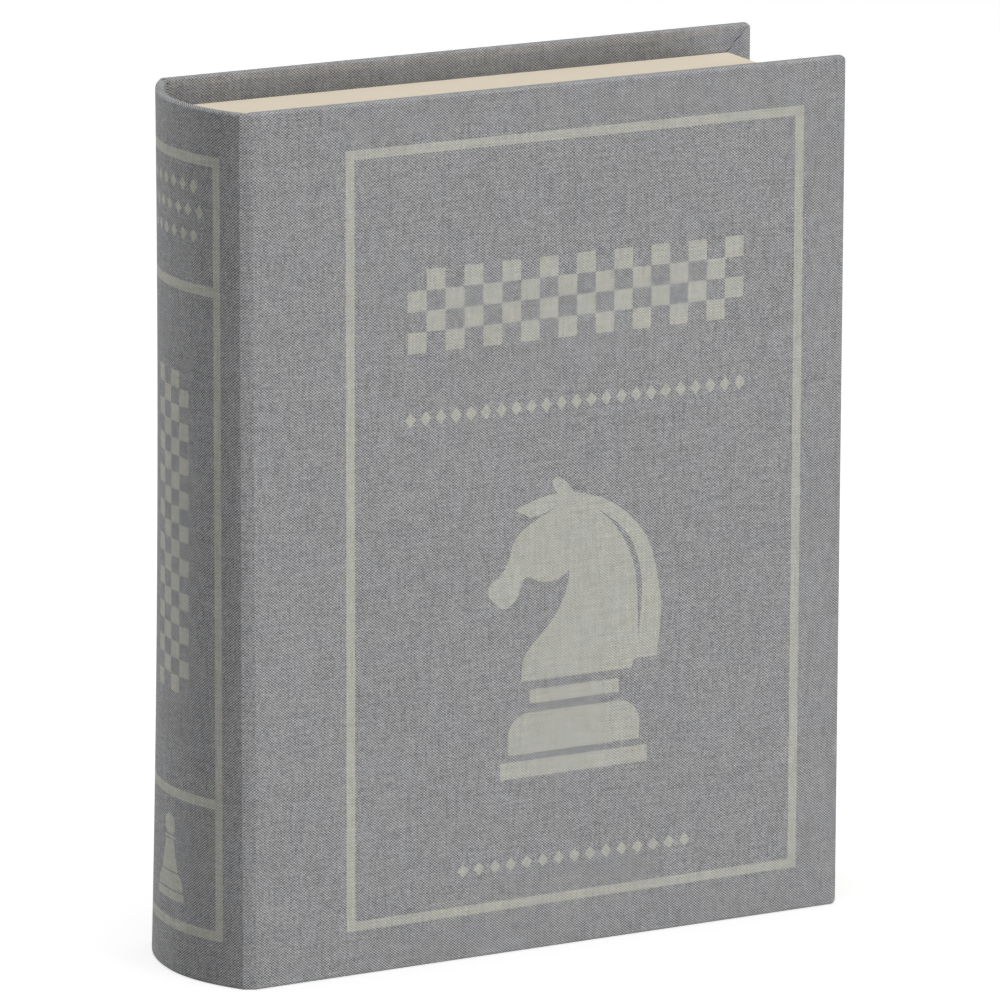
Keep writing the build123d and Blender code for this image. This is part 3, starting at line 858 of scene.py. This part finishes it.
# %% The front's print
frame_left = -61.2
frame_right = 89.4
frame_low = 13.5
frame_high = 246.4
line_w = 2.85
front_middle = (frame_left + frame_right) / 2
knight_middle = front_middle - 0.4
knight_foot = 53.1
inner_span = (frame_left + line_w, frame_right - line_w)
inner_rise = (frame_low + line_w, frame_high - line_w)
front_print = [
    (box_outline(frame_left, frame_right, frame_low, frame_high), 1),
    (box_outline(*inner_span, *inner_rise), -1),
]
front_print += chequer(front_middle, 197.0, cell=6.15, columns=18, rows=4)
front_print += lozenges(front_middle, 165.1, count=23, pitch=4.95, width=3.6, height=4.6)
front_print += lozenges(front_middle, 27.1, count=15, pitch=5.3, width=3.6, height=4.2)
front_print += [(moved(outline, knight_middle, knight_foot), sign) for outline, sign in knight]
print("front print:", len(front_print), "outlines")

# %% [markdown]
# ## The two covers
#
# The front and the back are the same skin, facing opposite ways. The face isn't dead
# flat: glued board draws a little, so a slow wave of a tenth of a millimetre runs
# through it.

# %% Skins of the covers
cover_panel = (fold_x, edge_x, foot, head, corner_r)
cover_grid = (7.0, 7.0)
wave_depth = 0.1
wave_length = 55
rim_fade = 12  # the wave fades out this near an edge


def draw(u, v, depth, seed):
    """How far the outer face of the glued board has drawn in, fading out at its edges."""
    if depth != 0.0:
        return 0.0
    rim = max(0.0, min(rim_fade, u - fold_x, edge_x - u, v - foot, head - v) / rim_fade)
    return abs(wave_depth * rim * noise.noise(Vector((u / wave_length, v / wave_length, seed))))


def on_front(u, v, depth):
    return (u, front_face + depth + draw(u, v, depth, seed=1.0), v)


def on_back(u, v, depth):
    return (u, back_face - depth - draw(u, v, depth, seed=8.0), v)


def front_cloth_x(u):
    return cover_start + u - fold_x


def back_cloth_x(u):
    return -front_cloth_x(u)


covers = (
    ("front", "front_cover", on_front, front_cloth_x, front_print),
    ("back", "case", on_back, back_cloth_x, []),
)
for side, body, place, along, shapes in covers:
    name = side + "_cover_cloth"
    skin = wrapped_skin(name, cover_panel, cover_t, True, place, along, shapes, cover_grid)
    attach(skin, body)
    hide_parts(side + "_cloth")
    print(skin.name, len(skin.data.polygons), "faces")

# %% [markdown]
# ## The round spine
#
# The spine is bent board under the same cloth. It isn't a perfect arc: years on a shelf
# make it a little fuller at the tail and flatter in its upper half, most of all towards
# the back. So its radius changes slowly up and across the spine, and the board and
# lining inside follow the same curve.

# %% The shape of the spine
tail_fullness = 1.2  # how much further out the middle stands at the tail
flat_fullness = -1.05  # the same where the spine is flattest
flat_height = 200.0
tail_lean = 1.05  # how much further out the back half stands at the tail
upper_lean = -1.5  # and higher up, where it is pulled in
upper_height = 212.0
lean_reach = 0.8  # share of the back half over which the lean grows


def fullness_at(v, tail, least, height):
    """A fullness that falls away from the tail and is least at a height."""
    return least + (tail - least) * (1 - v / height) ** 2


def lean(v):
    """How far the spine's back half stands out or in at a height."""
    return fullness_at(v, tail_lean, upper_lean, upper_height)


def on_spine(s, v, depth):
    """A point of the spine, s along its girth from the middle and depth under its surface."""
    swell = fullness_at(v, tail_fullness, flat_fullness, flat_height)
    swell *= cos(pi / 2 * s / spine_half) ** 2
    radius = spine_radius - depth + swell + lean(v) * eased(-s / (lean_reach * spine_half))
    angle = s / spine_radius
    return (spine_centre - radius * cos(angle), -radius * sin(angle), v)


print("lean of the back half at the foot and the head:", round(lean(foot), 2), round(lean(head), 2))

# %% The spine's print
spine_line = 2.6
spine_outer = 23.8
spine_inner = spine_outer - spine_line
rule_h = 3.0
spine_rules = (frame_low, 53.2, 205.3, frame_high - rule_h)
spine_rows = ((236.8, 6), (229.6, 7), (222.3, 6))  # height and number of the lozenges
pawn_low = 22.0
pawn_head = arc(0.0, 22.4, radius=3.3, start=-65, end=235, step=20)


def mirrored(right_side):
    """A closed outline from its right side, drawn upwards."""
    left_side = [(-u, v) for u, v in reversed(right_side)]
    return joined(smooth(right_side), smooth(left_side))


pawn = [
    (joined(smooth(pawn_head, 2)), 1),
    ([(-4.0, 18.3), (4.0, 18.3), (3.1, 19.1), (-3.1, 19.1)], 1),
    (mirrored([(5.0, 8.6), (3.7, 12.6), (2.6, 17.9)]), 1),
    (mirrored([(7.6, 3.2), (7.0, 6.0), (5.3, 8.1)]), 1),
    (box_outline(-8.2, 8.2, 0.0, 2.5), 1),
]
spine_print = [(box_outline(-spine_outer, spine_outer, frame_low, frame_high), 1)]
for low, high in zip(spine_rules, spine_rules[1:]):
    spine_print.append((box_outline(-spine_inner, spine_inner, low + rule_h, high), -1))
spine_print += chequer(0.0, 133.0, cell=5.05, columns=4, rows=19)
for row_v, count in spine_rows:
    spine_print += lozenges(0.0, row_v, count, pitch=5.2, width=3.6, height=4.0)
spine_print += [(moved(outline, 0.0, pawn_low), sign) for outline, sign in pawn]
print("spine print:", len(spine_print), "outlines")

# %% The spine's skin, board and lining
spine_panel = (-spine_half, spine_half, foot, head, 0.0)
spine_grid = (1.4, 6.0)
slab_columns = 40
slab_rows = 44


def spine_cloth_x(s):
    return s


def closed_strip(name, rings, flat, material, flipped=False, sharp=sharp_edge):
    """A strip with closed ends. Each ring runs along its outside and back along its inside."""
    count = len(rings[0])
    last = (len(rings) - 1) * count
    faces = []
    for start in range(0, last, count):
        for i in range(count):
            a = start + i
            b = start + (i + 1) % count
            faces.append((a, b, b + count, a + count))
    for i in range(count // 2 - 1):
        far = count - 1 - i
        faces.append((far, far - 1, i + 1, i))
        faces.append((last + i, last + i + 1, last + far - 1, last + far))
    if flipped:
        faces = [face[::-1] for face in faces]
    points = [spot for ring in rings for spot in ring]
    return make_piece(name, points, faces, flat, [material], sharp=sharp)


def bent_slab(name, half, low, high, depth, thickness, material):
    """A closed slab that follows the spine, between two depths under its surface."""
    rings = []
    flat = []
    across = [-half + 2 * half * i / slab_columns for i in range(slab_columns + 1)]
    for j in range(slab_rows + 1):
        v = low + (high - low) * j / slab_rows
        ring = [on_spine(s, v, depth) for s in across]
        ring += [on_spine(s, v, depth + thickness) for s in reversed(across)]
        rings.append(ring)
        flat += [(s, v) for s in across + across[::-1]]
    return closed_strip(name, rings, flat, material)


spine_skin = wrapped_skin(
    "round_spine_cloth", spine_panel, spine_t, False, on_spine, spine_cloth_x, spine_print, spine_grid
)
board_half = spine_half - joint_gap
glue_t = 0.02
core_depth = cloth_t + glue_t
core_t = spine_t - 2 * core_depth
core_span = (foot + cloth_t, head - cloth_t)
lining_span = (foot + turn_in + joint_gap, head - turn_in - joint_gap)
spine_core = bent_slab("bent_spine_board", board_half, *core_span, core_depth, core_t, grey_board)
spine_paper = bent_slab(
    "spine_inner_lining", board_half, *lining_span, spine_t - cloth_t, lining_t, end_paper
)
for piece, node, slot in (
    (spine_skin, "spine_cloth", "book_cloth"),
    (spine_core, "spine_board", "cover_board"),
    (spine_paper, "spine_lining", "endpaper"),
):
    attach(piece, "spine")
    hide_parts(node)

# %% [markdown]
# ## The two long folds
#
# Between spine and cover there is no board: two layers of cloth alone make the hinge.
# Each fold is a narrow strip that creases beside the spine and then runs nearly flat to
# the cover.

# %% Strips of cloth round the folds
fold_edge_t = 2.2  # fold with the turned-in cloth, beside the boards
fold_middle_t = 1.2  # the same at the bottom of the groove
fold_turn = pi / 2 - fold_angle
roundness = 0.15  # 0 is a flat strip between its two creases, 1 a round one
fold_columns = 14
fold_rows = 64


def on_fold(side, share, v, depth):
    """A point of the fold, from the spine at share 0 to the cover at share 1."""
    angle = fold_angle + fold_turn * share
    flattened = cos(fold_turn / 2) / cos(fold_turn * (share - 0.5))
    radius = fold_radius * (flattened + roundness * (1 - flattened)) - depth
    if side > 0:
        radius += lean(v) * (1 - eased(share))
    return (fold_x - radius * cos(angle), side * (fold_half + radius * sin(angle)), v)


def fold_strip(name, side):
    """The cloth round one fold. side is -1 at the front and 1 at the back."""
    sections = [(foot + (head - foot) * j / fold_rows, 0.0) for j in range(1, fold_rows)]
    for angle in quarter_turn:
        rise = edge_round * (1 - cos(angle))
        drawn_in = edge_round * (1 - sin(angle))
        sections += [(foot + rise, drawn_in), (head - rise, drawn_in)]
    sections.sort()
    shares = [i / fold_columns for i in range(fold_columns + 1)]
    rings = []
    flat = []
    for v, drawn_in in sections:
        ring = [on_fold(side, share, v, drawn_in) for share in shares]
        flat += [(-side * (spine_half + fold_length * share), v) for share in shares]
        for share in reversed(shares):
            groove = fold_edge_t - (fold_edge_t - fold_middle_t) * sin(pi * share) ** 0.5
            ring.append(on_fold(side, share, v, max(groove - drawn_in, drawn_in)))
            flat.append((-side * (spine_half + fold_length * share), v + fold_edge_t))
        rings.append(ring)
    return closed_strip(name, rings, flat, linen, flipped=side > 0, sharp=50.0)


def fold_end(side, share):
    """Where a fold meets the spine or the cover, in metres."""
    return [c * MM for c in on_fold(side, share, (foot + head) / 2, 0.0)]


for side, body, facing in (("front", "front_cover", -1), ("back", "case", 1)):
    strip = fold_strip(side + "_fold_cloth", facing)
    fold_end(facing, 0.0)
    fold_end(facing, 1.0)
    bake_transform(strip)
    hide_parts(side + "_joint_cloth")
    print(strip.name, len(strip.data.polygons), "faces,", round(fold_length, 2), "mm wide")

# %% [markdown]
# ## Floor, light and camera
#
# The case stands on a pale floor in soft daylight from a large window to the right of
# the camera and from above, with a third soft light behind on the left that draws the
# edge of the spine. The floor shows white to the camera and still carries the shadow:
# its own grey takes the light, and a glow that lights nothing else lifts it to white.

# %% Floor and sky
floor_size = 14.0
floor_grey = 0.5
floor_glow = 0.66
sky_level = 0.25
white = (1.0, 1.0, 1.0, 1.0)
reach = floor_size / 2
floor_mesh = bpy.data.meshes.new("pale_floor")
floor_corners = [(-reach, -reach, 0), (reach, -reach, 0), (reach, reach, 0), (-reach, reach, 0)]
floor_mesh.from_pydata(floor_corners, [], [(0, 1, 2, 3)])
floor_piece = placed("pale_floor", floor_mesh)
paint = Finish("pale_floor_paint", roughness=0.9, specular=0.1)
mottle = paint.noise(paint.place(), scale=3.0)
ray = paint.node("ShaderNodeLightPath", {})
reflected = paint.math("MAXIMUM", ray["Is Glossy Ray"], ray["Is Transmission Ray"])
seen = paint.math("MAXIMUM", ray["Is Camera Ray"], reflected)  # 1 where the camera looks, or 0
paint.feed(paint.surface.inputs["Emission Color"], white)
paint.feed(paint.surface.inputs["Emission Strength"], paint.math("MULTIPLY", seen, floor_glow))
floor_tone = paint.spread(mottle, low=0.0, high=1.0, to_low=0.99, to_high=1.01)
floor_colour = (floor_grey, floor_grey, floor_grey, 1.0)
floor_mesh.materials.append(paint.colour(floor_colour, floor_tone))

world = bpy.data.worlds.new("plain_sky")
bpy.context.scene.world = world
world.use_nodes = True
sky = world.node_tree
sky_ray = sky.nodes.new("ShaderNodeLightPath")
strength = sky.nodes.new("ShaderNodeMapRange")
background = sky.nodes["Background"].inputs
strength.inputs["To Min"].default_value = sky_level
strength.inputs["To Max"].default_value = 1.0
sky.links.new(sky_ray.outputs["Is Camera Ray"], strength.inputs["Value"])
sky.links.new(strength.outputs[0], background["Strength"])
background["Color"].default_value = white
print("floor", floor_size, "m, sky", sky_level)

# %% Lamps
case_middle = Vector((0.0, 0.0, (foot + head) / 2 * MM))


def direction(turn, rise):
    """The way from the case to a spot turned rightwards from its front and raised."""
    turn = radians(turn)
    rise = radians(rise)
    return Vector((sin(turn) * cos(rise), -cos(turn) * cos(rise), sin(rise)))


def soft_lamp(name, turn, rise, distance, size, level):
    """A square lamp that faces the case, with its distance and size in metres."""
    lamp = bpy.data.lights.new(name, "AREA")
    lamp.shape = "SQUARE"
    lamp.size = size
    lamp.energy = level * (pi * distance) ** 2
    holder = placed(name, lamp)
    aim = direction(turn, rise)
    holder.location = case_middle + aim * distance
    holder.rotation_mode = "QUATERNION"
    holder.rotation_quaternion = aim.to_track_quat("Z", "Y")
    print(name, distance, "m away")


soft_lamp("window", turn=21.0, rise=4.5, distance=3.2, size=0.9, level=0.51)
soft_lamp("top_light", turn=0.0, rise=86.0, distance=3.2, size=1.6, level=0.58)
soft_lamp("rim_light", turn=210.0, rise=8.0, distance=3.0, size=1.3, level=0.35)

# %% Camera
camera_place = (-1.14743, -2.20433, 0.74479)
camera_turn = -27.5955
camera_rise = 13.8902
camera_roll = radians(0.1604)
camera_data = bpy.data.cameras.new("photo_camera")
camera_data.sensor_width = 36.0
camera_data.lens = 312.11
camera_data.clip_start = 0.05
camera_data.clip_end = 60.0
camera = placed("photo_camera", camera_data)
backward = direction(camera_turn, camera_rise)
right = (-backward).cross(Vector((0, 0, 1))).normalized()
up = right.cross(-backward)
rolled_right = right * cos(camera_roll) + up * sin(camera_roll)
rolled_up = up * cos(camera_roll) - right * sin(camera_roll)
axes = Matrix((rolled_right, rolled_up, backward)).transposed()
camera.rotation_mode = "QUATERNION"
camera.rotation_quaternion = axes.to_quaternion()
camera.location = camera_place
bpy.context.scene.camera = camera
bpy.context.scene.view_settings.view_transform = "Standard"
print("camera", [round(c, 3) for c in camera.location], "lens", camera_data.lens)
